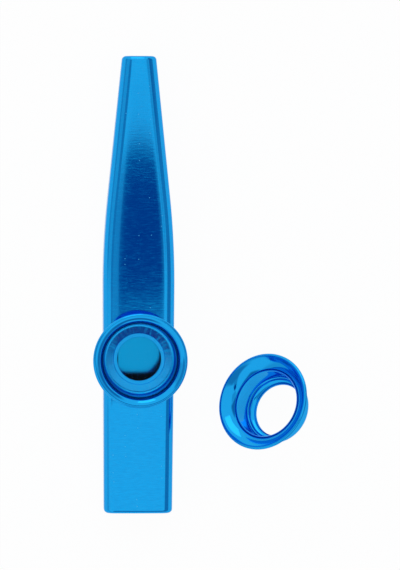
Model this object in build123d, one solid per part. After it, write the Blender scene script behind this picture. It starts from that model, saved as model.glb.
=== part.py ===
"""Kazoo: a tapered metal tube with a turret cup, a membrane on its ring, and the cap ring taken off.

Millimetres, +Z up with the turret on top. The origin is on the flat belly, straight below the
turret's axis. +Y runs to the narrow end and -Y to the mouth end.
"""
import os
from math import cos, radians, sin, tan

from build123d import *

# Body tube, reaches measured along Y from the turret's axis
mouth_reach = 41.0
tip_reach = 79.4
mouth_width = 18.0
shoulder_width = 18.9
tip_width = 8.9
body_height = 12.5
mouth_height = 8.8
tip_height = 8.4
mouth_lift = 1.7
tip_lift = 2.1
body_corner = 2.8
corner_limit_share = 0.96

# Where the tube bends: at its shoulders in both outlines, at the sag of its top a straight run further on, and at
# its belly and top towards the mouth
shoulder_reach = 30.0
shoulder_ease = 12.0
slope_ease = 7.0
top_ease = 16.0
sag_run = 1.0
sag_ease = 9.0
sag_share = 0.4
belly_bend = 4.3
top_bend = 12.5
bend_ease = 1.5

# Wall of the tube and its turned-in ends
wall = 0.8
lip_turn = 0.6
lip_roll_share = 0.75
along_share = 0.9

# Tone hole, drawn up from the top wall and rolled over the cup's floor
hole_radius = 5.75
collar_wall = 0.55
collar_lip_radius = 6.8
collar_lip_height = 0.45
collar_root_share = 0.7
collar_clearance = 0.05

# Turret cup
cup_wall = 0.5
cup_depth = 9.5
socket_radius = 9.5
cup_foot_fillet = 0.8
cup_flare = 1.95
cup_roll = 0.85

# Membrane: a stiff ring with a film on top
ring_clearance = 0.12
film_clearance = 0.25
film_thickness = 0.05

# Cap: its neck plugs into the cup's socket, and its foot stands on the membrane
cap_wall = 0.55
cap_neck_clearance = 0.15
cap_flare = 3.45
cap_roll = 0.75
cap_foot_fillet = 1.1
cap_hole_radius = 7.0
cap_lip_gap = 1.0

# The cap's place beside the tube: the middle of its rim, its lean and the way it leans
cap_x = 32.35
cap_y = -11.1
cap_tilt = 37.0
cap_lean_direction = 150.0

# How far a cutting tool runs past what it cuts
overrun = 1.0

# Rounding of the tube's long edges, no more than its smallest section takes
corner = min(body_corner, corner_limit_share * min(tip_width, tip_height, mouth_height) / 2)

# The top's sag, past the rounding of the shoulder
sag_reach = shoulder_reach + top_ease + sag_run + sag_ease

# Heights of the stack on the turret's axis
floor_top = body_height + cup_wall
cup_crest = floor_top + cup_depth
ring_height = collar_lip_height + film_clearance
film_top = floor_top + ring_height + film_thickness
cap_height = cup_crest + cap_lip_gap + cap_wall - film_top


def bent(points, eases):
    """Straight runs through points, each bend rounded by an arc that starts its ease before the point."""
    radii = []
    for before, point, after, ease in zip(points, points[1:], points[2:], eases):
        turn = (Vector(*point) - Vector(*before)).get_angle(Vector(*after) - Vector(*point))
        radii.append(ease / tan(radians(turn) / 2))
    return FilletPolyline(*points, radius=radii)


def plan(inset, back, front):
    """Outline of the tube from above, drawn in by inset, from back to front along Y."""
    mouth = mouth_width / 2 - inset
    shoulder = shoulder_width / 2 - inset
    tip = tip_width / 2 - inset
    return make_face([
        bent([(mouth, back), (shoulder, shoulder_reach), (tip, front)], [shoulder_ease]),
        Line((tip, front), (-tip, front)),
        bent([(-tip, front), (-shoulder, shoulder_reach), (-mouth, back)], [shoulder_ease]),
        Line((-mouth, back), (mouth, back)),
    ])


def side(inset, back, front):
    """Outline of the tube from the side, drawn in by inset, from back to front along Y."""
    low = inset
    high = body_height - inset
    mouth_low = mouth_lift + inset
    mouth_high = mouth_lift + mouth_height - inset
    tip_low = tip_lift + inset
    tip_high = tip_lift + tip_height - inset
    sag_high = high + (tip_high - high) * sag_share
    return make_face(Plane.YZ * Curve([
        bent([(back, mouth_low), (-belly_bend, low), (shoulder_reach, low), (front, tip_low)],
             [bend_ease, slope_ease]),
        Line((front, tip_low), (front, tip_high)),
        bent([(back, mouth_high), (-top_bend, high), (shoulder_reach, high), (sag_reach, sag_high),
              (front, tip_high)], [bend_ease, top_ease, sag_ease]),
        Line((back, mouth_high), (back, mouth_low)),
    ]))


def runs_along(edge):
    """True for an edge that runs the length of the tube and not across it."""
    return abs((edge @ 1 - edge @ 0).normalized().Y) > along_share


def tube(inset, back, front):
    """Solid that fills the tube, drawn in from its skin by inset, with its four long edges rounded."""
    block = extrude(plan(inset, back, front), amount=body_height)
    block &= extrude(side(inset, back, front), amount=shoulder_width, both=True)
    return fillet(block.edges().filter_by(runs_along), corner - inset)


def end_section(y, width, low, height, inset):
    """Rounded opening across one end of the tube, drawn in from its skin by inset."""
    across = Plane(origin=(0, y, low + height / 2), x_dir=(1, 0, 0), z_dir=(0, -1, 0))
    return across * RectangleRounded(width - 2 * inset, height - 2 * inset, corner - inset)


def end_edges(shape, y):
    """Edges of a shape that lie in the plane across Y at y."""
    return shape.edges().filter_by_position(Axis.Y, y, y)


def turned(path):
    """Solid of revolution about the turret's axis from closed lines drawn in X and Z."""
    return revolve(make_face(Plane.XZ * path), Axis.Z)


def collar():
    """Barrel of the tone hole, pulled up through the cup's floor and rolled over it."""
    barrel = hole_radius + collar_wall
    root = body_height - wall
    shoulder = hole_radius + collar_lip_height
    edge = collar_lip_radius - collar_lip_height
    crest = floor_top + collar_lip_height
    path = Curve() + [
        Line((hole_radius, root), (hole_radius, floor_top)),
        CenterArc((shoulder, floor_top), collar_lip_height, 180, -90),
        Line((shoulder, crest), (edge, crest)),
        CenterArc((edge, floor_top), collar_lip_height, 90, -90),
        Line((collar_lip_radius, floor_top), (barrel, floor_top)),
        Line((barrel, floor_top), (barrel, root)),
        Line((barrel, root), (hole_radius, root)),
    ]
    return turned(path)


def tone_hole():
    """Cutter for the tone hole, which opens wider inside the tube as a drawn hole does."""
    inner_top = body_height - wall
    bell = collar_root_share * wall
    low = inner_top - overrun
    high = floor_top + collar_lip_height + overrun
    wide = hole_radius + bell
    path = Curve() + [
        Line((0, low), (wide, low)),
        Line((wide, low), (wide, inner_top)),
        Line((wide, inner_top), (hole_radius, inner_top + bell)),
        Line((hole_radius, inner_top + bell), (hole_radius, high)),
        Line((hole_radius, high), (0, high)),
        Line((0, high), (0, low)),
    ]
    return turned(path)


def body_tube():
    """Seamless tube with its ends turned in and its tone hole drawn up."""
    lip = wall + lip_turn
    skin = tube(0, -mouth_reach, tip_reach)
    skin = fillet(end_edges(skin, -mouth_reach) + end_edges(skin, tip_reach), lip_roll_share * lip)
    shell = skin - tube(wall, wall - mouth_reach, tip_reach - wall)
    mouth = end_section(-mouth_reach, mouth_width, mouth_lift, mouth_height, lip)
    tip = end_section(tip_reach, tip_width, tip_lift, tip_height, lip)
    for opening in (mouth, tip):
        shell -= extrude(opening, amount=wall + overrun, both=True)
    return shell + collar() - tone_hole()


def turret_cup():
    """Pressed cup with a flared rim rolled over at its edge."""
    floor_hole = hole_radius + collar_wall + collar_clearance
    outer = socket_radius + cup_wall
    foot = cup_foot_fillet + cup_wall
    neck_top = cup_crest - cup_flare
    crest = socket_radius + cup_flare
    rim = crest + cup_roll
    roll = cup_crest - cup_roll
    flat = socket_radius - cup_foot_fillet
    path = Curve() + [
        Line((floor_hole, floor_top), (flat, floor_top)),
        CenterArc((flat, floor_top + cup_foot_fillet), cup_foot_fillet, 270, 90),
        Line((socket_radius, floor_top + cup_foot_fillet), (socket_radius, neck_top)),
        CenterArc((crest, neck_top), cup_flare, 180, -90),
        CenterArc((crest, roll), cup_roll, 90, -90),
        Line((rim, roll), (rim - cup_wall, roll)),
        Line((rim - cup_wall, roll), (rim - cup_wall, cup_crest - cup_wall)),
        Line((rim - cup_wall, cup_crest - cup_wall), (crest, cup_crest - cup_wall)),
        CenterArc((crest, neck_top), cup_flare - cup_wall, 90, 90),
        Line((outer, neck_top), (outer, body_height + foot)),
        CenterArc((flat, body_height + foot), foot, 0, -90),
        Line((flat, body_height), (floor_hole, body_height)),
        Line((floor_hole, body_height), (floor_hole, floor_top)),
    ]
    return turned(path)


def washer(outer, inner, low, height):
    """Flat ring about the turret's axis."""
    sketch = Circle(outer) - Circle(inner) if inner else Circle(outer)
    return extrude(Pos(0, 0, low) * sketch, amount=height)


def membrane():
    """Ring that clears the rolled edge of the tone hole, and the film glued on it."""
    outer = socket_radius - cup_foot_fillet - ring_clearance
    inner = collar_lip_radius + ring_clearance
    ring = washer(outer, inner, floor_top, ring_height)
    film = washer(outer, 0, floor_top + ring_height, film_thickness)
    return ring, film


def cap_upright():
    """Cap ring standing on its axis, with the crest of its rim at z = 0."""
    neck = socket_radius - cap_neck_clearance
    inner = neck - cap_wall
    foot = cap_foot_fillet + cap_wall
    crest = inner + cap_flare
    rim = crest + cap_roll
    flat = inner - cap_foot_fillet
    shelf = cap_wall - cap_height
    path = Curve() + [
        Line((cap_hole_radius, shelf), (flat, shelf)),
        CenterArc((flat, shelf + cap_foot_fillet), cap_foot_fillet, 270, 90),
        Line((inner, shelf + cap_foot_fillet), (inner, -cap_flare)),
        CenterArc((crest, -cap_flare), cap_flare, 180, -90),
        CenterArc((crest, -cap_roll), cap_roll, 90, -90),
        Line((rim, -cap_roll), (rim - cap_wall, -cap_roll)),
        Line((rim - cap_wall, -cap_roll), (rim - cap_wall, -cap_wall)),
        Line((rim - cap_wall, -cap_wall), (crest, -cap_wall)),
        CenterArc((crest, -cap_flare), cap_flare - cap_wall, 90, 90),
        Line((neck, -cap_flare), (neck, foot - cap_height)),
        CenterArc((flat, foot - cap_height), foot, 0, -90),
        Line((flat, -cap_height), (cap_hole_radius, -cap_height)),
        Line((cap_hole_radius, -cap_height), (cap_hole_radius, shelf)),
    ]
    return turned(path)


def cap():
    """Cap taken off, leaning beside the tube with the rounded edge of its foot on the table."""
    tilt = radians(cap_tilt)
    foot = cap_foot_fillet + cap_wall
    foot_circle = socket_radius - cap_neck_clearance - foot
    crest_z = (cap_height - foot) * cos(tilt) + foot_circle * sin(tilt) + foot
    return Pos(cap_x, cap_y, crest_z) * Rot(0, 0, cap_lean_direction) * Rot(0, cap_tilt, 0) * cap_upright()


def main():
    """Build every piece and write one STEP file for each."""
    ring, film = membrane()
    pieces = {
        "body_tube": body_tube(),
        "turret_cup": turret_cup(),
        "membrane_ring": ring,
        "membrane_film": film,
        "cap": cap(),
    }
    os.makedirs("parts", exist_ok=True)
    for name, shape in pieces.items():
        export_step(shape, f"parts/{name}.step")


main()
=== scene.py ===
from math import cos, degrees, pi, radians, sin, tan

import bmesh
import bpy
from bpy.props import FloatProperty, FloatVectorProperty, IntProperty, PointerProperty, StringProperty
from mathutils import Matrix, Quaternion, Vector


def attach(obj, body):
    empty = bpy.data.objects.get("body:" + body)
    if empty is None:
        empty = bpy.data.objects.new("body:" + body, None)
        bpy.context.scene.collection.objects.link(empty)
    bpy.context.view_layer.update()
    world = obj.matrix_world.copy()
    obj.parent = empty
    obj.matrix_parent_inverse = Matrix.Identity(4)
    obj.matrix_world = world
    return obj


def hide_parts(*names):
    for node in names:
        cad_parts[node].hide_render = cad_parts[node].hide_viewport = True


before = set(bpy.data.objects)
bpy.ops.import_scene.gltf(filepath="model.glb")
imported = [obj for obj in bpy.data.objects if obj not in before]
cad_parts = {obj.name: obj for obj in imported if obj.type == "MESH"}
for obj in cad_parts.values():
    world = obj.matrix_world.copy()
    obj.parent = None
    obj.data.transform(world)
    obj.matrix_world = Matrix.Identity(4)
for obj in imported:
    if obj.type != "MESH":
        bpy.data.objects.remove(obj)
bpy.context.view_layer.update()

bl_info = {
    "name": "Kazoo",
    "version": (1, 0, 0),
    "blender": (4, 5, 0),
    "location": "View3D > Sidebar > Kazoo",
    "description": "Builds a dyed aluminium kazoo with its turret, membrane and loose cap, and its studio",
    "category": "Add Mesh",
}

MM = 0.001

# Points nearer than this count as being at the same place, and ones nearer than the weld are made one
NEAR = 0.01 * MM
WELD = 0.002 * MM
# A face whose normal is this close to an axis counts as square to it
SQUARE = 0.99
# Longest and shortest step between the rings of points along the tube
STATION_GAP = 7 * MM
LEAST_GAP = 0.3 * MM
FLOOR_SIZE = 4.0
# Edges that bend by less than this are shaded smooth
SMOOTH_BELOW = radians(40)


def length(name, description, millimetres):
    """A size property, given in millimetres and kept in metres."""
    return FloatProperty(name=name, description=description, default=millimetres * MM, min=0.0,
                         precision=5, unit="LENGTH", subtype="DISTANCE")


def angle(name, description, turn):
    """An angle property, given in degrees and kept in radians."""
    return FloatProperty(name=name, description=description, default=radians(turn), unit="ROTATION",
                         subtype="ANGLE")


def share(name, description, value):
    """A property between 0 and 1."""
    return FloatProperty(name=name, description=description, default=value, min=0.0, max=1.0,
                         subtype="FACTOR")


def tint(name, description, hexcode):
    """A colour property, as sRGB hex."""
    return StringProperty(name=name, description=description, default=hexcode)


class KazooSizes(bpy.types.PropertyGroup):
    """Sizes of the kazoo's pieces."""
    mouth_reach: length("Mouth reach", "From the turret's axis to the wide end", 41.0)
    tip_reach: length("Tip reach", "From the turret's axis to the narrow end", 79.4)
    mouth_width: length("Mouth width", "Width of the wide end", 18.0)
    shoulder_width: length("Shoulder width", "Width where the taper would begin with no rounding", 18.9)
    tip_width: length("Tip width", "Width of the narrow end", 8.9)
    body_height: length("Body height", "Height of the tube below the turret", 12.5)
    mouth_height: length("Mouth height", "Height of the wide end", 8.8)
    tip_height: length("Tip height", "Height of the narrow end", 8.4)
    mouth_lift: length("Mouth lift", "Underside of the wide end above the belly", 1.7)
    tip_lift: length("Tip lift", "Underside of the narrow end above the belly", 2.1)
    corner: length("Corner", "Rounding of the tube's long edges", 2.8)
    shoulder_reach: length("Shoulder reach", "From the turret's axis to the shoulders", 30.0)
    shoulder_ease: length("Shoulder ease", "Rounding of the shoulders seen from above, to each side", 12.0)
    slope_ease: length("Slope ease", "Rounding of the shoulders seen from the side, to each side", 7.0)
    top_ease: length("Top ease", "Rounding of the shoulders along the tube's top, to each side", 16.0)
    sag_reach: length("Sag reach", "From the turret's axis to where the top starts to fall faster", 56.0)
    sag_ease: length("Sag ease", "Rounding of the top there, to each side", 9.0)
    sag_share: share("Sag share", "Share of the top's fall that comes before the sag", 0.4)
    belly_bend: length("Belly bend", "From the turret's axis to the bend under the mouth", 4.3)
    top_bend: length("Top bend", "From the turret's axis to the bend over the mouth", 12.5)
    bend_ease: length("Bend ease", "Rounding of those two bends, to each side", 1.5)
    crown: length("Crown rise", "Rise of the slight arch across the tube's top", 0.33)
    wall: length("Wall", "Sheet thickness of the tube", 0.8)
    lip: length("Lip", "How far the tube's ends turn in, wall included", 1.4)
    lip_roll: length("Lip roll", "Rounding of the tube's turned ends", 1.05)
    hole_radius: length("Tone hole radius", "Radius of the hole drawn up into the turret", 5.75)
    collar_wall: length("Collar wall", "Sheet thickness of the hole's barrel", 0.55)
    collar_radius: length("Collar radius", "Radius of the edge rolled over the cup's floor", 6.8)
    collar_height: length("Collar height", "Height of that edge over the cup's floor", 0.11)
    collar_lean: angle("Collar lean", "Slight lean of that edge, as a roller leaves it", 0.6)
    collar_root: length("Collar root", "Rounding where the hole's barrel leaves the tube's wall", 0.6)
    cup_wall: length("Cup wall", "Sheet thickness of the turret cup", 0.5)
    cup_depth: length("Cup depth", "From the cup's floor to the crest of its rim", 9.5)
    socket_radius: length("Socket radius", "Inner radius of the turret cup", 9.5)
    cup_fall: length("Cup fall", "How far the cup's floor falls from its hole to its wall", 0.07)
    cup_foot: length("Cup foot", "Rounding between the cup's floor and wall", 0.8)
    cup_flare: length("Cup flare", "Width of the curve that opens the cup", 2.25)
    cup_rise: length("Cup rise", "Height of that curve", 3.0)
    cup_roll: length("Cup roll", "Radius of the cup's rolled edge", 0.55)
    polish_depth: length("Polish depth", "How far down inside the turret the polish fades out", 1.4)
    cap_wall: length("Cap wall", "Sheet thickness of the cap", 0.55)
    cap_neck: length("Cap neck", "Inner radius of the cap's neck", 8.8)
    cap_height: length("Cap height", "Height of the cap", 10.3)
    cap_flare: length("Cap flare", "Width of the curve that opens the cap", 3.7)
    cap_sweep: angle("Cap sweep", "How far that curve runs round its ellipse", 60.0)
    cap_lean: angle("Cap edge lean", "Slope of that curve where the roll starts", 16.0)
    cap_roll: length("Cap roll", "Radius of the cap's rolled edge", 0.5)
    cap_foot: length("Cap foot", "Rounding between the cap's neck and its turned-in foot", 1.7)
    cap_hole: length("Cap hole radius", "Radius of the hole in the cap's foot", 7.0)
    film_radius: length("Membrane radius", "Outer radius of the membrane and its ring", 8.58)
    ring_hole: length("Ring hole radius", "Inner radius of the membrane's ring", 6.92)
    ring_height: length("Ring height", "Height of the membrane's ring", 0.7)
    ring_edge: length("Ring edge", "Softened edge of the membrane's ring", 0.08)
    film_thickness: length("Film thickness", "Thickness of the membrane", 0.05)
    cap_place: FloatVectorProperty(name="Cap place", description="Middle of the loose cap's rim", size=3,
                                   default=(32.35 * MM, -11.1 * MM, 13.195 * MM), unit="LENGTH",
                                   subtype="TRANSLATION")
    cap_tilt: angle("Cap tilt", "Lean of the loose cap", 37.0)
    cap_direction: angle("Cap direction", "Way that the loose cap leans, from +X", 150.0)
    turn_steps: IntProperty(name="Turn steps", description="Facets round a turned piece", default=128,
                            min=16)


class KazooFinish(bpy.types.PropertyGroup):
    """Colours and surface of the kazoo."""
    dye: tint("Dye", "Colour of the anodised skin", "10A9F0")
    dye_deep: tint("Deep dye", "Colour where the skin took up more dye", "0A9EE8")
    inner_dye: tint("Inner dye", "Colour inside the tube", "0F9ED9")
    # Painted shade: the near black painted inside the tube past the belly's bend and in its corners
    inner_painted_shade: tint("Deep inner dye", "Colour inside the tube where the dye pooled", "02101E")
    scuff: tint("Scuff", "Colour of the small marks in the skin", "5FB4EE")
    film: tint("Film", "Colour of the clear film", "86AFC6")
    polish: share("Polish", "Roughness of the metal", 0.075)
    brushing: share("Brushing", "Roughness of the deepest marks across the tube", 0.14)
    dull: share("Dullness", "Roughness inside the turret, below its polished rim", 0.3)
    stroke_fine: share("Fine stroke", "Roughness of the cup's floor between its strokes", 0.07)
    stroke_deep: share("Deep stroke", "Roughness of the cup's floor in its deepest strokes", 0.26)
    scuff_rough: share("Scuff roughness", "Roughness of a scuff", 0.5)
    scuff_rate: share("Scuff rate", "Share of the places for a scuff that hold one", 0.2)
    ring_alpha: share("Ring alpha", "How much the clear ring covers", 0.02)
    film_alpha: share("Film alpha", "How much the clear film covers", 0.01)
    bore_lean: share("Bore lean", "Slope that the shading of the flat inside the tube shows", 0.02)
    scuff_spacing: length("Scuff spacing", "Spacing of the places for a scuff", 3.2)
    scuff_radius: length("Scuff radius", "Radius of a scuff", 0.144)
    grain: length("Grain", "Spacing of the fine marks across the tube", 0.3)
    grain_length: length("Grain length", "Length of those marks", 2.1)
    ring_spacing: length("Ring spacing", "Spacing of the polishing rings on turned pieces", 0.25)
    cloud: length("Cloud", "Size of the uneven patches in the dye", 5.0)
    stroke_length: length("Stroke length", "Length of the strokes on the cup's floor", 3.0)
    stroke_rate: FloatProperty(name="Stroke rate", description="Strokes on the cup's floor for each radian",
                               default=26.0, min=1.0)
    # The sheen sizes bound the lit flat inside the tube; beyond them the colour is painted shade
    sheen_half: length("Sheen half-width", "Half the width of the bright flat inside the tube", 5.3)
    sheen_edge: length("Sheen edge", "From the middle of that flat to where it is dark", 5.8)
    sheen_aside: length("Sheen aside", "How far the middle of that flat lies to the side", 0.4)
    sheen_start: length("Sheen start", "From the turret's axis back to where the flat starts to darken", 3.7)
    sheen_end: length("Sheen end", "From the turret's axis back to where it is dark", 5.0)
    bore_grain: length("Bore grain", "Spacing of the drawing marks inside the tube", 0.4)
    bore_stroke: length("Bore stroke", "Length of the drawing marks inside the tube", 4.0)
    haze: length("Haze", "Size of the patches in the clear plastic", 3.0)


class KazooStage(bpy.types.PropertyGroup):
    """Floor, light and camera."""
    floor_white: tint("Floor", "Colour of the floor", "FFFFFF")
    flag: tint("Flag", "Colour of the dark flag overhead", "00548E")
    surround: FloatProperty(name="Surround", description="Strength of the white all round", default=0.95,
                            min=0.0)
    floor_seen: share("Floor to the camera", "Share of the floor that stays white to the camera", 0.96)
    floor_mirrored: share("Floor in the metal", "Share of the floor that stays white in the metal", 0.55)
    lamp_azimuth: angle("Lamp azimuth", "Way to the softbox, from +X", 97.0)
    lamp_rise: angle("Lamp rise", "Height of the softbox over the floor", 26.0)
    lamp_distance: length("Lamp distance", "From the origin to the softbox", 1000.0)
    lamp_width: length("Lamp width", "Width of the softbox", 400.0)
    lamp_height: length("Lamp height", "Height of the softbox", 580.0)
    lamp_power: FloatProperty(name="Lamp power", description="Power of the softbox in watts", default=0.5,
                              min=0.0)
    camera_distance: length("Camera distance", "Height of the camera over the kazoo", 1000.0)
    camera_slant: FloatVectorProperty(name="Camera slant", size=2, default=(-0.0545, 0.040),
                                      description="Way to the camera, for each metre of height")
    camera_roll: angle("Camera roll", "Turn of the picture", 0.195)
    camera_aim: FloatVectorProperty(name="Camera aim", description="Middle of the picture", size=3,
                                    default=(16.2 * MM, 19.2 * MM, 8 * MM), unit="LENGTH",
                                    subtype="TRANSLATION")
    frame_height: length("Frame height", "What the picture's long side spans at the kazoo", 150.3)


def linear(hexcode):
    """sRGB hex to a linear colour with alpha 1."""
    parts = [int(hexcode[i:i + 2], 16) / 255 for i in (0, 2, 4)]
    return (*[c / 12.92 if c <= 0.04045 else ((c + 0.055) / 1.055) ** 2.4 for c in parts], 1.0)


def add_node(tree, kind, links=None, **settings):
    """A node with its settings. links maps an input's name or number to a value or to an output."""
    node = tree.nodes.new(kind)
    for name, value in settings.items():
        setattr(node, name, value)
    for key, value in (links or {}).items():
        socket = node.inputs[key]
        if isinstance(value, bpy.types.NodeSocket):
            tree.links.new(value, socket)
        else:
            socket.default_value = value
    return node


def new_material(name):
    """An empty node material, and its tree."""
    material = bpy.data.materials.new(name)
    material.use_nodes = True
    material.node_tree.nodes.clear()
    return material, material.node_tree


def reckon(tree, operation, first, second=0.0):
    """One step of arithmetic, as a socket."""
    return add_node(tree, "ShaderNodeMath", {0: first, 1: second}, operation=operation).outputs[0]


def spread(tree, value, start, end, low=0.0, high=1.0, soft=False):
    """A value's run from start to end, spread over low to high and held there, as a socket. Soft eases
    it."""
    return add_node(tree, "ShaderNodeMapRange", {
        "Value": value, "From Min": start, "From Max": end, "To Min": low, "To Max": high},
        interpolation_type="SMOOTHSTEP" if soft else "LINEAR").outputs[0]


def blend(tree, amount, first, second):
    """Two colours mixed, as a socket."""
    return add_node(tree, "ShaderNodeMix", {0: amount, 6: first, 7: second}, data_type="RGBA").outputs[2]


def noise(tree, where, scale=1.0, detail=2.0, rough=0.5):
    """Noise, as a socket."""
    return add_node(tree, "ShaderNodeTexNoise", {
        "Vector": where, "Scale": scale, "Detail": detail, "Roughness": rough}).outputs["Fac"]


def bumps(tree, height, strength, depth):
    """A surface that shades as if it had this height, as a socket."""
    return add_node(tree, "ShaderNodeBump", {
        "Height": height, "Strength": strength, "Distance": depth}).outputs[0]


def round_z(tree, where):
    """The place in a turned piece: its parts, the part across the axis, and the radius, as sockets."""
    parts = add_node(tree, "ShaderNodeSeparateXYZ", {0: where}).outputs
    flat = add_node(tree, "ShaderNodeCombineXYZ", {0: parts["X"], 1: parts["Y"]}).outputs[0]
    radius = add_node(tree, "ShaderNodeVectorMath", {0: flat}, operation="LENGTH").outputs["Value"]
    return parts, flat, radius


# Runs of the noises' values over which the dye, the marks across the tube and the brush strokes change
DYE_RUN = (0.3, 0.7)
MARK_RUN = (0.48, 0.72)
STROKE_RUN = (0.46, 0.7)
# How far up a face has to look to count as the tube's top
TOP_FACING = 0.95
# The clear skin over the dyed metal, and the tint that the metal keeps at grazing angles
CLEAR_SKIN = {"Specular Tint": (0.5, 0.8, 1.0, 1.0), "Coat Weight": 0.15, "Coat Roughness": 0.05,
              "Coat IOR": 1.6}


def shine(tree, dyed, rough, bump):
    """Anodised metal's shader: a mirror under a thin clear skin, which whitens the glints a little."""
    skin = add_node(tree, "ShaderNodeBsdfPrincipled", {
        "Base Color": dyed, "Metallic": 1.0, "Roughness": rough, "Normal": bump, **CLEAR_SKIN})
    add_node(tree, "ShaderNodeOutputMaterial", {"Surface": skin.outputs[0]})
    return skin


def cross_grained(finish):
    """The tube's outside: aluminium polished crosswise, anodised and dyed. It mirrors its surroundings in
    blue, and the fine marks across it make the mirror image feathery. A few pale scuffs catch the eye. The
    marks are drawn coarser than the real ones, which are too fine to show."""
    material, tree = new_material("Anodised aluminium, cross-polished")
    place = add_node(tree, "ShaderNodeTexCoord").outputs
    marks = add_node(tree, "ShaderNodeMapping", {
        "Vector": place["Object"], "Scale": (1 / finish.grain_length, 1 / finish.grain, 1 / finish.grain)})
    streaks = noise(tree, marks.outputs[0], detail=3.0, rough=0.65)
    dyed = blend(tree, spread(tree, streaks, *DYE_RUN), linear(finish.dye_deep), linear(finish.dye))
    cells = add_node(tree, "ShaderNodeTexVoronoi", {
        "Vector": place["Object"], "Scale": 1 / finish.scuff_spacing}, voronoi_dimensions="2D").outputs
    size = finish.scuff_radius / finish.scuff_spacing
    dot = spread(tree, cells["Distance"], size / 3, size, 1.0, 0.0)
    chance = add_node(tree, "ShaderNodeSeparateColor", {0: cells["Color"]}).outputs[0]
    few = reckon(tree, "GREATER_THAN", chance, 1 - finish.scuff_rate)
    normal = add_node(tree, "ShaderNodeSeparateXYZ", {0: place["Normal"]}).outputs
    up = reckon(tree, "GREATER_THAN", normal["Z"], TOP_FACING)
    scuff = reckon(tree, "MULTIPLY", reckon(tree, "MULTIPLY", dot, few), up)
    dyed = blend(tree, scuff, dyed, linear(finish.scuff))
    brushed = spread(tree, streaks, *MARK_RUN, finish.polish, finish.brushing)
    rough = add_node(tree, "ShaderNodeMix", {0: scuff, 2: brushed, 3: finish.scuff_rough}).outputs[0]
    shine(tree, dyed, rough, bumps(tree, streaks, strength=0.16, depth=0.02 * MM))
    return material


def spun(name, finish, place=(0, 0, 0), turn=(0, 0, 0), dull=None):
    """Turret and cap: aluminium spun to shape, polished on the lathe, anodised and dyed. Clean mirror lines
    run round it, with the faintest rings from the polishing, drawn coarser than the real ones, which are too
    fine to show. If dull gives two heights, the polish fades from the first down to the second, and it is
    satin below, where the polishing wheel did not reach."""
    material, tree = new_material(name)
    where = add_node(tree, "ShaderNodeTexCoord").outputs["Object"]
    own = add_node(tree, "ShaderNodeMapping", {"Vector": where, "Location": place, "Rotation": turn},
                   vector_type="TEXTURE").outputs[0]
    parts, flat, radius = round_z(tree, own)
    rings = add_node(tree, "ShaderNodeCombineXYZ", {0: radius, 2: parts["Z"]}).outputs[0]
    lines = noise(tree, rings, 1 / finish.ring_spacing)
    cloud = noise(tree, own, 1 / finish.cloud)
    dyed = blend(tree, cloud, linear(finish.dye_deep), linear(finish.dye))
    rough = spread(tree, lines, *DYE_RUN, finish.polish * 0.9, finish.polish * 1.2)
    if dull:
        deep = spread(tree, parts["Z"], *dull, 0.0, finish.dull - finish.polish, soft=True)
        rough = reckon(tree, "ADD", rough, deep)
    shine(tree, dyed, rough, bumps(tree, lines, strength=0.06, depth=0.01 * MM))
    return material


def brushed_floor(finish):
    """The cup's floor: brushed outwards from the tone hole before it was dyed. Fine rays spread the mirror
    image sideways, so the floor looks satin beside the polished rim. The strokes are drawn coarser than the
    real ones, which are too fine to show."""
    material, tree = new_material("Anodised aluminium, brushed outwards")
    where = add_node(tree, "ShaderNodeTexCoord").outputs["Object"]
    parts, flat, radius = round_z(tree, where)
    way = add_node(tree, "ShaderNodeVectorMath", {0: flat}, operation="NORMALIZE").outputs[0]
    rays = add_node(tree, "ShaderNodeVectorMath", {0: way, "Scale": finish.stroke_rate},
                    operation="SCALE").outputs[0]
    reach = reckon(tree, "MULTIPLY", radius, 1 / finish.stroke_length)
    ahead = add_node(tree, "ShaderNodeCombineXYZ", {2: reach}).outputs[0]
    rays = add_node(tree, "ShaderNodeVectorMath", {0: rays, 1: ahead}, operation="ADD").outputs[0]
    strokes = noise(tree, rays, detail=3.0, rough=0.6)
    dyed = blend(tree, spread(tree, strokes, *DYE_RUN), linear(finish.dye_deep), linear(finish.dye))
    rough = spread(tree, strokes, *STROKE_RUN, finish.stroke_fine, finish.stroke_deep)
    skin = shine(tree, dyed, rough, bumps(tree, strokes, strength=0.25, depth=0.02 * MM))
    skin.inputs["Anisotropic"].default_value = 0.85
    around = add_node(tree, "ShaderNodeTangent", direction_type="RADIAL", axis="Z")
    tree.links.new(around.outputs[0], skin.inputs["Tangent"])
    return material


def bare_bore(finish):
    """Inside of the tube, dyed but never polished: drawn metal with an even teal sheen on the flat below the
    tone hole. Past the belly's bend and in the corners its colour falls to near black, as painted shade.
    The flat shades as if it leaned a little towards the mouth."""
    material, tree = new_material("Anodised aluminium, as drawn")
    place = add_node(tree, "ShaderNodeTexCoord").outputs["Object"]
    parts = add_node(tree, "ShaderNodeSeparateXYZ", {0: place}).outputs
    # The lit flat below the tone hole keeps the inner dye; past the belly's bend and in the corners the
    # colour is painted shade, near black
    along = spread(tree, parts["Y"], -finish.sheen_end, -finish.sheen_start, soft=True)
    aside = reckon(tree, "ABSOLUTE", reckon(tree, "SUBTRACT", parts["X"], finish.sheen_aside))
    across = spread(tree, aside, finish.sheen_edge, finish.sheen_half, soft=True)
    flat = reckon(tree, "MULTIPLY", along, across)
    dyed = blend(tree, flat, linear(finish.inner_painted_shade), linear(finish.inner_dye))
    marks = add_node(tree, "ShaderNodeMapping", {
        "Vector": place, "Scale": (1 / finish.bore_stroke, 1 / finish.bore_grain, 1 / finish.bore_grain)})
    rough = spread(tree, noise(tree, marks.outputs[0]), 0.0, 1.0, 0.10, 0.14)
    slope = bumps(tree, parts["Y"], strength=1.0, depth=finish.bore_lean)
    skin = add_node(tree, "ShaderNodeBsdfPrincipled", {
        "Base Color": dyed, "Metallic": 1.0, "Roughness": rough, "Normal": slope})
    add_node(tree, "ShaderNodeOutputMaterial", {"Surface": skin.outputs[0]})
    return material


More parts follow.
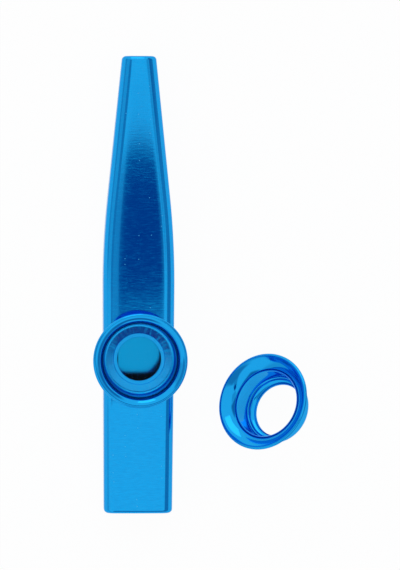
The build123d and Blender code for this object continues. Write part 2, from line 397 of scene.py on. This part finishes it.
def clear_film(name, finish, alpha):
    """Clear plastic, cast smooth: nearly unseen, with a faint gloss."""
    material, tree = new_material(name)
    place = add_node(tree, "ShaderNodeTexCoord").outputs["Object"]
    rough = spread(tree, noise(tree, place, 1 / finish.haze), 0.0, 1.0, 0.05, 0.12)
    skin = add_node(tree, "ShaderNodeBsdfPrincipled", {
        "Base Color": linear(finish.film), "Roughness": rough, "Alpha": alpha})
    add_node(tree, "ShaderNodeOutputMaterial", {"Surface": skin.outputs[0]})
    return material


def deselect():
    """Leaves edit mode with nothing selected."""
    if bpy.context.object and bpy.context.object.mode != "OBJECT":
        bpy.ops.object.mode_set(mode="OBJECT")
    bpy.ops.object.select_all(action="DESELECT")


def pick(piece, kind, test):
    """In edit mode, selects only the verts, edges or faces that pass the test. There has to be one."""
    modes = {"verts": "VERT", "edges": "EDGE", "faces": "FACE"}
    bpy.ops.mesh.select_mode(type=modes[kind])
    bpy.ops.mesh.select_all(action="DESELECT")
    mesh = bmesh.from_edit_mesh(piece.data)
    found = [element for element in getattr(mesh, kind) if test(element)]
    for element in found:
        element.select_set(True)
    mesh.select_flush_mode()
    bmesh.update_edit_mesh(piece.data)
    if not found:
        raise RuntimeError(f"{piece.name}: no {kind} where the next step needs them")


def arc(middle, wide, start, sweep, steps, tall=None):
    """Points of an arc, or of an ellipse's if it is given another height. Angles are in degrees, and the
    first point is left out."""
    turns = [radians(start + sweep * i / steps) for i in range(1, steps + 1)]
    return [(middle[0] + wide * cos(a), middle[1] + (tall or wide) * sin(a)) for a in turns]


def turned(name, profile, steps, closed=False):
    """A piece turned about Z: a vertex is extruded along a profile of (radius, height), and the line is
    spun."""
    deselect()
    bpy.ops.mesh.primitive_plane_add(size=MM)
    piece = bpy.context.object
    piece.name = piece.data.name = name
    bpy.ops.object.mode_set(mode="EDIT")
    bpy.ops.mesh.select_mode(type="VERT")
    bpy.ops.mesh.select_all(action="SELECT")
    bpy.ops.mesh.merge(type="CENTER")
    bpy.ops.transform.translate(value=(profile[0][0], 0, profile[0][1]))
    path = list(zip(profile, profile[1:]))
    if closed:
        path.append((profile[-1], profile[0]))
    for (r0, z0), (r1, z1) in path:
        bpy.ops.mesh.extrude_region_move(TRANSFORM_OT_translate={"value": (r1 - r0, 0, z1 - z0)})
    bpy.ops.mesh.select_all(action="SELECT")
    bpy.ops.mesh.spin(steps=steps, angle=2 * pi, center=(0, 0, 0), axis=(0, 0, 1))
    bpy.ops.mesh.select_all(action="SELECT")
    bpy.ops.mesh.remove_doubles(threshold=WELD)
    bpy.ops.mesh.normals_make_consistent(inside=False)
    bpy.ops.object.mode_set(mode="OBJECT")
    return piece


def face_up(piece):
    """Turns an open turned sheet so that its floor faces up."""
    bpy.ops.object.mode_set(mode="EDIT")
    bpy.ops.mesh.select_all(action="SELECT")
    mesh = bmesh.from_edit_mesh(piece.data)
    floor = min(mesh.faces, key=lambda f: f.calc_center_median().z)
    if floor.normal.z < 0:
        bpy.ops.mesh.flip_normals()
    bpy.ops.object.mode_set(mode="OBJECT")


def apply_modifier(piece, kind, **settings):
    """Adds a modifier with its settings and applies it."""
    bpy.context.view_layer.objects.active = piece
    modifier = piece.modifiers.new(kind.title(), kind)
    for name, value in settings.items():
        setattr(modifier, name, value)
    bpy.ops.object.modifier_apply(modifier=modifier.name)


def finished(piece, body, node, materials):
    """Smooths a piece, gives it its materials, and hands it to the body that carries it."""
    deselect()
    piece.select_set(True)
    bpy.context.view_layer.objects.active = piece
    bpy.ops.object.shade_smooth_by_angle(angle=SMOOTH_BELOW)
    for material in materials:
        piece.data.materials.append(material)
    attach(piece, body)
    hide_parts(node)


def eased(points, eases, y):
    """Height at y of straight runs through points, each inner bend rounded over its ease to both sides."""
    for (y0, v0), (y1, v1), (y2, v2), ease in zip(points, points[1:], points[2:], eases):
        if abs(y - y1) < ease:
            before = (v1 - v0) / (y1 - y0)
            after = (v2 - v1) / (y2 - y1)
            t = y - y1 + ease
            return v1 - before * ease + before * t + (after - before) * t * t / (4 * ease)
    for (y0, v0), (y1, v1) in zip(points, points[1:]):
        if y <= y1 + 1e-9:
            return v0 + (v1 - v0) * (y - y0) / (y1 - y0)
    return points[-1][1]


class TubeForm:
    """Outlines of the tube: half its width, its underside and its top, all by the place along it."""

    def __init__(self, s):
        back, front, shoulder = -s.mouth_reach, s.tip_reach, s.shoulder_reach
        self.width_line = [(back, s.mouth_width / 2), (shoulder, s.shoulder_width / 2),
                           (front, s.tip_width / 2)]
        self.low_line = [(back, s.mouth_lift), (-s.belly_bend, 0), (shoulder, 0), (front, s.tip_lift)]
        tip_top = s.tip_lift + s.tip_height
        sag = s.body_height - (s.body_height - tip_top) * s.sag_share
        self.high_line = [(back, s.mouth_lift + s.mouth_height), (-s.top_bend, s.body_height),
                          (shoulder, s.body_height), (s.sag_reach, sag), (front, tip_top)]
        self.sizes = s

    def half(self, y):
        return eased(self.width_line, [self.sizes.shoulder_ease], y)

    def low(self, y):
        return eased(self.low_line, [self.sizes.bend_ease, self.sizes.slope_ease], y)

    def high(self, y):
        return eased(self.high_line, [self.sizes.bend_ease, self.sizes.top_ease, self.sizes.sag_ease], y)

    def stations(self):
        """Places along the tube where it gets a ring of points: its ends, its bends and steps between."""
        s = self.sizes
        places = [s.lip_roll - s.mouth_reach, s.tip_reach - s.lip_roll]
        bends = ((-s.top_bend, s.bend_ease, 4), (-s.belly_bend, s.bend_ease, 4),
                 (s.shoulder_reach, s.slope_ease, 6), (s.shoulder_reach, s.shoulder_ease, 8),
                 (s.shoulder_reach, s.top_ease, 10), (s.sag_reach, s.sag_ease, 6))
        for middle, ease, steps in bends:
            places += [middle + ease * (2 * i / steps - 1) for i in range(steps + 1)]
        gaps = sorted(places)
        for before, after in zip(gaps, gaps[1:]):
            parts = int((after - before) / STATION_GAP)
            places += [before + (after - before) * (i + 1) / (parts + 1) for i in range(parts)]
        kept = []
        for y in sorted(places):
            if not kept or y - kept[-1] > LEAST_GAP:
                kept.append(y)
        return kept


def shape_block(piece, form, stations):
    """Cuts a block across at the stations, and sets each ring of points to the tube's outlines."""
    s = form.sizes
    for y in stations[1:-1]:
        bpy.ops.mesh.select_all(action="SELECT")
        bpy.ops.mesh.bisect(plane_co=(0, y, 0), plane_no=(0, 1, 0))
    for y in stations:
        pick(piece, "verts", lambda v: abs(v.co.y - y) < NEAR)
        wide = 2 * form.half(y) / s.shoulder_width
        bpy.ops.transform.resize(value=(wide, 1, 1), center_override=(0, y, 0))
        pick(piece, "verts", lambda v: abs(v.co.y - y) < NEAR and v.co.z > s.body_height / 2)
        bpy.ops.transform.translate(value=(0, 0, form.high(y) - s.body_height))
        pick(piece, "verts", lambda v: abs(v.co.y - y) < NEAR and v.co.z < s.body_height / 2)
        bpy.ops.transform.translate(value=(0, 0, form.low(y)))


def roll_end(piece, s, side):
    """Rolls one end of the tube in: its end face is inset in steps, outwards along a quarter turn and then
    flat, and is taken out."""
    pick(piece, "faces", lambda f: f.normal.y * side > SQUARE and len(f.verts) > 8)
    steps = 7
    for i in range(steps):
        a, b = radians(90 * i / steps), radians(90 * (i + 1) / steps)
        bpy.ops.mesh.inset(thickness=s.lip_roll * (cos(a) - cos(b)), depth=s.lip_roll * (sin(b) - sin(a)))
    edge = (s.lip - s.lip_roll) / 2
    bpy.ops.mesh.inset(thickness=edge, depth=0)
    bpy.ops.mesh.inset(thickness=edge, depth=-edge / 2)
    bpy.ops.mesh.delete(type="FACE")


def crown_top(piece, form):
    """Splits the tube's flat top lengthwise and arches the whole top a little, as a drawn tube is."""
    s = form.sizes
    limit = 2 * NEAR

    def inside(y):
        return min(max(y, -s.mouth_reach), s.tip_reach)

    def middle(y):
        return (form.low(inside(y)) + form.high(inside(y))) / 2

    def across_top(edge):
        a, b = (v.co for v in edge.verts)
        level = abs(a.y - b.y) < limit and abs(a.z - b.z) < limit and abs(a.x + b.x) < limit
        return level and a.z > middle(a.y) and abs(a.x - b.x) > 10 * limit

    pick(piece, "edges", across_top)
    bpy.ops.mesh.subdivide(number_cuts=9)
    bpy.ops.object.mode_set(mode="OBJECT")
    group = piece.vertex_groups.new(name="crown")
    for vertex in piece.data.vertices:
        x, y, z = vertex.co
        if z > middle(y):
            group.add([vertex.index], max(0.0, 1 - (x / form.half(inside(y))) ** 2), "REPLACE")
    apply_modifier(piece, "DISPLACE", direction="Z", strength=s.crown, mid_level=0, vertex_group="crown")
    piece.vertex_groups.clear()


def cut_tone_hole(piece, s):
    """Cuts the top wall open for the barrel of the tone hole."""
    deselect()
    inside_barrel = s.hole_radius + s.collar_wall * 0.8
    bpy.ops.mesh.primitive_cylinder_add(vertices=96, radius=inside_barrel, depth=5 * s.wall,
                                        location=(0, 0, s.body_height))
    cutter = bpy.context.object
    bpy.ops.object.transform_apply(location=True, rotation=True, scale=True)
    apply_modifier(piece, "BOOLEAN", operation="DIFFERENCE", object=cutter, solver="EXACT")
    bpy.data.objects.remove(cutter)


def tone_hole_collar(s):
    """Barrel of the tone hole, pulled up through the cup's floor and rolled over it."""
    floor = s.body_height + s.cup_wall
    inner_top = s.body_height - s.wall
    lip = s.collar_height
    barrel = s.hole_radius + s.collar_wall
    root = s.collar_root
    profile = [(barrel, inner_top)]
    profile += arc((s.hole_radius + root, inner_top + root), root, 270, -90, 6)
    profile += [(s.hole_radius, floor)]
    profile += arc((s.hole_radius + lip, floor), lip, 180, -90, 8)
    # Points close inside both roundings keep the shading of the flat ring even
    profile += [(s.hole_radius + lip * 1.2, floor + lip), (s.collar_radius - lip * 1.2, floor + lip)]
    profile += [(s.collar_radius - lip, floor + lip)]
    profile += [(s.collar_radius, floor), (barrel, floor)]
    collar = turned("tone_hole_collar", profile, s.turn_steps, closed=True)
    bpy.ops.object.mode_set(mode="EDIT")
    # With no window, Blender turns the other way, so the angle is negative
    pick(collar, "verts", lambda v: v.co.z > floor + lip / 2)
    bpy.ops.transform.rotate(value=-s.collar_lean, orient_axis="X", orient_type="GLOBAL",
                             center_override=(0, 0, floor + lip))
    bpy.ops.object.mode_set(mode="OBJECT")
    return collar


class KAZOO_OT_body_tube(bpy.types.Operator):
    """Builds the tapered tube with its rolled ends and drawn tone hole."""
    bl_idname = "kazoo.body_tube"
    bl_label = "Body tube"

    def execute(self, context):
        s, finish = context.scene.kazoo_sizes, context.scene.kazoo_finish
        form = TubeForm(s)
        stations = form.stations()
        deselect()
        first, last = stations[0], stations[-1]
        bpy.ops.mesh.primitive_cube_add(size=1, location=(0, (first + last) / 2, s.body_height / 2),
                                        scale=(s.shoulder_width, last - first, s.body_height))
        tube = context.object
        tube.name = tube.data.name = "kazoo_body_tube"
        bpy.ops.object.transform_apply(location=True, rotation=True, scale=True)
        bpy.ops.object.mode_set(mode="EDIT")
        shape_block(tube, form, stations)
        pick(tube, "edges", lambda e: abs(e.verts[0].co.y - e.verts[1].co.y) > 10 * NEAR)
        bpy.ops.mesh.bevel(offset=s.corner, segments=14, profile=0.5, affect="EDGES", clamp_overlap=False)
        roll_end(tube, s, -1)
        roll_end(tube, s, 1)
        crown_top(tube, form)
        tube.data.materials.append(cross_grained(finish))
        tube.data.materials.append(bare_bore(finish))
        apply_modifier(tube, "SOLIDIFY", thickness=s.wall, offset=-1, use_even_offset=True,
                       material_offset=1)
        cut_tone_hole(tube, s)
        collar = tone_hole_collar(s)
        collar.data.materials.append(tube.data.materials[0])
        deselect()
        collar.select_set(True)
        tube.select_set(True)
        context.view_layer.objects.active = tube
        bpy.ops.object.join()
        finished(tube, "kazoo", "body_tube", [])
        return {"FINISHED"}


class KAZOO_OT_turret_cup(bpy.types.Operator):
    """Builds the turret: a spun cup with a flared rim, rolled over at its edge."""
    bl_idname = "kazoo.turret_cup"
    bl_label = "Turret cup"

    def execute(self, context):
        s, finish = context.scene.kazoo_sizes, context.scene.kazoo_finish
        floor = s.body_height + s.cup_wall
        crest_z = floor + s.cup_depth
        crest = s.socket_radius + s.cup_flare
        flat = s.socket_radius - s.cup_foot
        low = floor - s.cup_fall
        ease = (flat - 0.3 * MM, low + s.cup_fall / 8)
        profile = [(s.hole_radius + s.collar_wall, floor), ease, (flat, low)]
        profile += arc((flat, low + s.cup_foot), s.cup_foot, 270, 90, 8)
        profile += [(s.socket_radius, floor + s.cup_depth / 2), (s.socket_radius, crest_z - s.cup_rise)]
        profile += arc((crest, crest_z - s.cup_rise), s.cup_flare, 180, -90, 16, s.cup_rise)
        profile += arc((crest, crest_z - s.cup_roll), s.cup_roll, 90, -90, 10)
        cup = turned("kazoo_turret_cup", profile, s.turn_steps)
        face_up(cup)
        cup.data.materials.append(spun("Anodised aluminium, spun and polished above", finish,
                                       dull=(crest_z - s.polish_depth / 2, crest_z - s.polish_depth)))
        cup.data.materials.append(spun("Anodised aluminium, spun and polished", finish))
        cup.data.materials.append(brushed_floor(finish))
        apply_modifier(cup, "SOLIDIFY", thickness=s.cup_wall, offset=-1, use_even_offset=True,
                       material_offset=1)
        for face in cup.data.polygons:
            if face.normal.z > SQUARE and face.center.z < floor + 10 * NEAR:
                face.material_index = 2
        finished(cup, "kazoo", "turret_cup", [])
        return {"FINISHED"}


class KAZOO_OT_cap(bpy.types.Operator):
    """Builds the loose cap: a spun ring with a flared rim and a turned-in foot, leaning beside the tube."""
    bl_idname = "kazoo.cap"
    bl_label = "Cap"

    def execute(self, context):
        s, finish = context.scene.kazoo_sizes, context.scene.kazoo_finish
        crest = s.cap_neck + s.cap_flare
        flat = s.cap_neck - s.cap_foot
        shelf = s.cap_wall - s.cap_height
        profile = [(s.cap_hole, shelf), (flat, shelf)]
        profile += arc((flat, shelf + s.cap_foot), s.cap_foot, 270, 90, 8)
        # The flare is part of an ellipse that is upright at the neck and meets the roll at the roll's slope
        edge = (crest - s.cap_roll * sin(s.cap_lean), s.cap_roll * (cos(s.cap_lean) - 1))
        wide = (edge[0] - s.cap_neck) / (1 - cos(s.cap_sweep))
        tall = wide * tan(s.cap_lean) * tan(s.cap_sweep)
        low = edge[1] - tall * sin(s.cap_sweep)
        start = 90 + degrees(s.cap_lean)
        profile += [(s.cap_neck, low)]
        profile += arc((s.cap_neck + wide, low), wide, 180, -degrees(s.cap_sweep), 18, tall)
        profile += arc((crest, -s.cap_roll), s.cap_roll, start, -start, 12)
        cap = turned("kazoo_cap", profile, s.turn_steps)
        face_up(cap)
        apply_modifier(cap, "SOLIDIFY", thickness=s.cap_wall, offset=-1, use_even_offset=True)
        deselect()
        cap.select_set(True)
        context.view_layer.objects.active = cap
        cap.location = s.cap_place
        cap.rotation_euler = (0, s.cap_tilt, s.cap_direction)
        bpy.ops.object.transform_apply(location=True, rotation=True, scale=True)
        skin = spun("Anodised aluminium, spun and polished, cap", finish, s.cap_place,
                    (0, s.cap_tilt, s.cap_direction))
        finished(cap, "cap", "cap", [skin])
        return {"FINISHED"}


class KAZOO_OT_membrane(bpy.types.Operator):
    """Builds the membrane: a clear ring with the film that buzzes on top."""
    bl_idname = "kazoo.membrane"
    bl_label = "Membrane"

    def execute(self, context):
        s, finish = context.scene.kazoo_sizes, context.scene.kazoo_finish
        floor = s.body_height + s.cup_wall
        top = floor + s.ring_height
        soft = s.ring_edge
        profile = [(s.ring_hole, floor), (s.ring_hole, top - soft), (s.ring_hole + soft, top),
                   (s.film_radius - soft, top), (s.film_radius, top - soft), (s.film_radius, floor)]
        ring = turned("kazoo_membrane_ring", profile, s.turn_steps, closed=True)
        finished(ring, "membrane", "membrane_ring",
                 [clear_film("Clear plastic, punched", finish, finish.ring_alpha)])
        deselect()
        bpy.ops.mesh.primitive_circle_add(vertices=s.turn_steps, radius=s.film_radius, fill_type="NGON",
                                          location=(0, 0, top))
        film = context.object
        film.name = film.data.name = "kazoo_membrane_film"
        bpy.ops.object.transform_apply(location=True, rotation=True, scale=True)
        bpy.ops.object.mode_set(mode="EDIT")
        bpy.ops.mesh.select_all(action="SELECT")
        bpy.ops.mesh.inset(thickness=s.film_radius - s.ring_hole, depth=0)
        bpy.ops.mesh.select_all(action="SELECT")
        bpy.ops.mesh.extrude_region_move(TRANSFORM_OT_translate={"value": (0, 0, s.film_thickness)})
        bpy.ops.mesh.select_all(action="SELECT")
        bpy.ops.mesh.normals_make_consistent(inside=False)
        bpy.ops.object.mode_set(mode="OBJECT")
        finished(film, "membrane", "membrane_film",
                 [clear_film("Clear plastic film, cast", finish, finish.film_alpha)])
        return {"FINISHED"}


def white_floor(name, stage):
    """White paper that stays white to the camera and, less so, in the metal, and keeps part of the
    shadows."""
    material, tree = new_material(name)
    paper = add_node(tree, "ShaderNodeBsdfDiffuse", {"Color": linear(stage.floor_white)})
    glow = add_node(tree, "ShaderNodeEmission", {"Color": linear(stage.floor_white), "Strength": 1.0})
    rays = add_node(tree, "ShaderNodeLightPath").outputs
    mirrored = reckon(tree, "MAXIMUM", rays["Is Glossy Ray"], rays["Is Transmission Ray"])
    mirrored = reckon(tree, "MULTIPLY", mirrored, stage.floor_mirrored)
    seen = reckon(tree, "MULTIPLY", rays["Is Camera Ray"], stage.floor_seen)
    white = reckon(tree, "MAXIMUM", seen, mirrored)
    both = add_node(tree, "ShaderNodeMixShader", {0: white, 1: paper.outputs[0], 2: glow.outputs[0]})
    add_node(tree, "ShaderNodeOutputMaterial", {"Surface": both.outputs[0]})
    return material


# Dim parts of the studio that the metal mirrors, such as gaps in the white and the room behind the camera:
# azimuth of the middle, half-widths of the core and of all with the soft edge, then the heights where it
# starts, is full, is still full and ends, all in degrees, and how much light it takes
DIM_PARTS = (
    (32, 18, 34, 14, 22, 46, 58, 0.75),
    (4, 16, 32, 3, 10, 38, 50, 0.62),
    (332, 28, 44, 2, 10, 44, 54, 0.68),
    (285, 22, 45, 16, 24, 44, 56, 0.75),
    (215, 20, 38, -8, 0, 12, 26, 0.3),
    (168, 16, 27, 44, 54, 72, 80, 0.62),
    (24, 18, 32, 50, 58, 70, 78, 0.35),
    (166, 12, 20, -8, 0, 48, 58, 0.3),
    (168, 11, 15, 3, 8, 16, 22, 0.5),
)

# The dark flag overhead and the dimmer card to its left: how much light each takes, then its four soft
# edges, each across or along, where it starts and where it is full, for each metre of height
FLAGS = (
    (1.0, (("X", -0.074, -0.042), ("X", 0.28, 0.14), ("Y", -0.062, -0.046), ("Y", 0.096, 0.068))),
    (0.5, (("X", -0.9, -0.6), ("X", 0.02, -0.04), ("Y", -0.10, -0.055), ("Y", 0.096, 0.065))),
)


def studio_world(stage):
    """Even white light all round, with a dark flag overhead and dim bands that the metal mirrors. The camera
    sees plain white."""
    world = bpy.data.worlds.new("Studio")
    world.use_nodes = True
    tree = world.node_tree
    tree.nodes.clear()
    way = add_node(tree, "ShaderNodeTexCoord").outputs["Generated"]
    parts = add_node(tree, "ShaderNodeSeparateXYZ", {0: way}).outputs
    above = reckon(tree, "GREATER_THAN", parts["Z"], 0.0)
    dark = 0.0
    for depth, edges in FLAGS:
        part = reckon(tree, "MULTIPLY", above, depth)
        for axis, start, full in edges:
            slope = reckon(tree, "DIVIDE", parts[axis], parts["Z"])
            part = reckon(tree, "MULTIPLY", part, spread(tree, slope, start, full, soft=True))
        dark = reckon(tree, "MAXIMUM", dark, part)
    level = add_node(tree, "ShaderNodeVectorMath", {0: way, 1: (1, 1, 0)}, operation="MULTIPLY").outputs[0]
    level = add_node(tree, "ShaderNodeVectorMath", {0: level}, operation="NORMALIZE").outputs[0]
    for azimuth, core, edge, start, full, still, end, depth in DIM_PARTS:
        a = radians(azimuth)
        turn = add_node(tree, "ShaderNodeVectorMath", {0: level, 1: (cos(a), sin(a), 0)},
                        operation="DOT_PRODUCT").outputs["Value"]
        part = spread(tree, turn, cos(radians(edge)), cos(radians(core)), 0.0, depth, soft=True)
        for outside, inside in ((start, full), (end, still)):
            rise = spread(tree, parts["Z"], sin(radians(outside)), sin(radians(inside)), soft=True)
            part = reckon(tree, "MULTIPLY", part, rise)
        dark = reckon(tree, "MAXIMUM", dark, part)
    light = blend(tree, dark, (*[stage.surround] * 3, 1.0), linear(stage.flag))
    rays = add_node(tree, "ShaderNodeLightPath").outputs
    shown = blend(tree, rays["Is Camera Ray"], light, (1, 1, 1, 1))
    back = add_node(tree, "ShaderNodeBackground", {"Color": shown, "Strength": 1.0})
    add_node(tree, "ShaderNodeOutputWorld", {"Surface": back.outputs[0]})
    return world


def key_softbox(stage):
    """A soft lamp out beyond the narrow end. It points at the belly below the turret and gives the pale
    glints."""
    a, e = stage.lamp_azimuth, stage.lamp_rise
    place = Vector((cos(e) * cos(a), cos(e) * sin(a), sin(e))) * stage.lamp_distance
    bpy.ops.object.light_add(type="AREA", location=place)
    lamp = bpy.context.object
    lamp.name = "key_softbox"
    lamp.data.shape = "RECTANGLE"
    lamp.data.size, lamp.data.size_y = stage.lamp_width, stage.lamp_height
    lamp.data.energy = stage.lamp_power
    lamp.rotation_euler = (-place).to_track_quat("-Z", "Y").to_euler()


class KAZOO_OT_stage(bpy.types.Operator):
    """Builds the white floor, the studio light and the camera."""
    bl_idname = "kazoo.stage"
    bl_label = "Stage"

    def execute(self, context):
        stage = context.scene.kazoo_stage
        deselect()
        bpy.ops.mesh.primitive_plane_add(size=FLOOR_SIZE, location=(0, 0, -2 * NEAR))
        floor = context.object
        floor.name = floor.data.name = "floor"
        bpy.ops.object.transform_apply(location=True, rotation=True, scale=True)
        floor.data.materials.append(white_floor("White paper", stage))
        context.scene.world = studio_world(stage)
        key_softbox(stage)
        aim = Vector(stage.camera_aim)
        slant = Vector((*stage.camera_slant, 1))
        bpy.ops.object.camera_add(location=aim + slant * stage.camera_distance)
        camera = context.object
        camera.name = "camera"
        way = aim - camera.location
        right = way.cross(Vector((0, 1, 0))).normalized()
        right.rotate(Quaternion(-way, stage.camera_roll))
        up = right.cross(way).normalized()
        camera.rotation_euler = Matrix((right, up, -way.normalized())).transposed().to_euler()
        camera.data.lens = camera.data.sensor_width * way.length / stage.frame_height
        camera.data.clip_end = 20
        context.scene.camera = camera
        context.scene.view_settings.view_transform = "Standard"
        return {"FINISHED"}


class VIEW3D_PT_kazoo(bpy.types.Panel):
    """Lists the kazoo's pieces, sizes and finish."""
    bl_label = "Kazoo"
    bl_idname = "VIEW3D_PT_kazoo"
    bl_space_type = "VIEW_3D"
    bl_region_type = "UI"
    bl_category = "Kazoo"

    def draw(self, context):
        for operator in OPERATORS:
            self.layout.operator(operator.bl_idname)
        for group in (context.scene.kazoo_sizes, context.scene.kazoo_finish, context.scene.kazoo_stage):
            box = self.layout.box()
            for name in group.__annotations__:
                box.prop(group, name)


OPERATORS = (KAZOO_OT_body_tube, KAZOO_OT_turret_cup, KAZOO_OT_cap, KAZOO_OT_membrane, KAZOO_OT_stage)
GROUPS = {"kazoo_sizes": KazooSizes, "kazoo_finish": KazooFinish, "kazoo_stage": KazooStage}


def register():
    for group in GROUPS.values():
        bpy.utils.register_class(group)
    for operator in OPERATORS:
        bpy.utils.register_class(operator)
    bpy.utils.register_class(VIEW3D_PT_kazoo)
    for name, group in GROUPS.items():
        setattr(bpy.types.Scene, name, PointerProperty(type=group))


def unregister():
    for name in GROUPS:
        delattr(bpy.types.Scene, name)
    bpy.utils.unregister_class(VIEW3D_PT_kazoo)
    for operator in reversed(OPERATORS):
        bpy.utils.unregister_class(operator)
    for group in reversed(GROUPS.values()):
        bpy.utils.unregister_class(group)


def main():
    register()
    bpy.ops.kazoo.body_tube()
    bpy.ops.kazoo.turret_cup()
    bpy.ops.kazoo.membrane()
    bpy.ops.kazoo.cap()
    bpy.ops.kazoo.stage()


if __name__ == "__main__":
    main()
